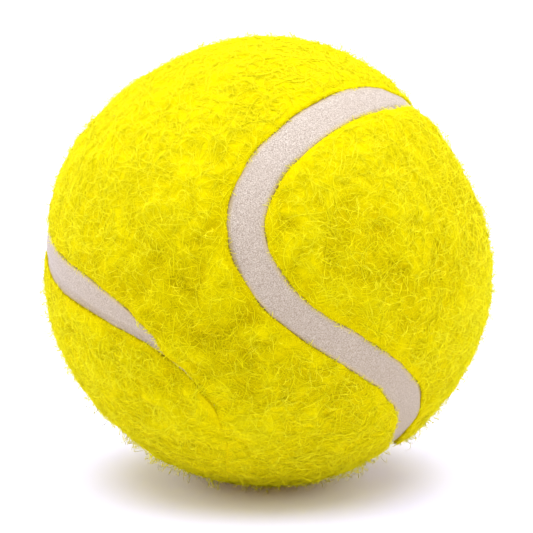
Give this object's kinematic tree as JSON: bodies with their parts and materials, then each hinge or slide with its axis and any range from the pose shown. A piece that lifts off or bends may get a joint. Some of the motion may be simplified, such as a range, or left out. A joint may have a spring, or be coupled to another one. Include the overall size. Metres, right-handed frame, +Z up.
{
  "type": "tennis ball",
  "caption": "Tennis ball: a sealed hollow rubber core under yellow felt panels, with a pale rubber seam strip winding between their edges.",
  "frame": {"origin": "centre of the ball", "axes": "+Z up as the ball lies in the picture, which looks along +Y from slightly above, +X to the right"},
  "size_m": [0.067, 0.067, 0.067],
  "materials": {
    "core_rubber": "matte",
    "cup_cement": "satin",
    "core_cement": "satin",
    "panel_cement": "satin",
    "backing_cloth": "woven",
    "felt_nap": "napped felt",
    "seam_cement": "matte"
  },
  "bodies": {
    "root": {"core_cup_upper": "core_rubber", "core_cup_lower": "core_rubber", "cup_joint_cement": "cup_cement", "core_cement_coat": "core_cement", "panel_a_cement": "panel_cement", "panel_b_cement": "panel_cement", "panel_a_backing_cloth": "backing_cloth", "panel_b_backing_cloth": "backing_cloth", "panel_a_nap": "felt_nap", "panel_b_nap": "felt_nap", "seam_strip": "seam_cement"}
  },
  "joints": []
}
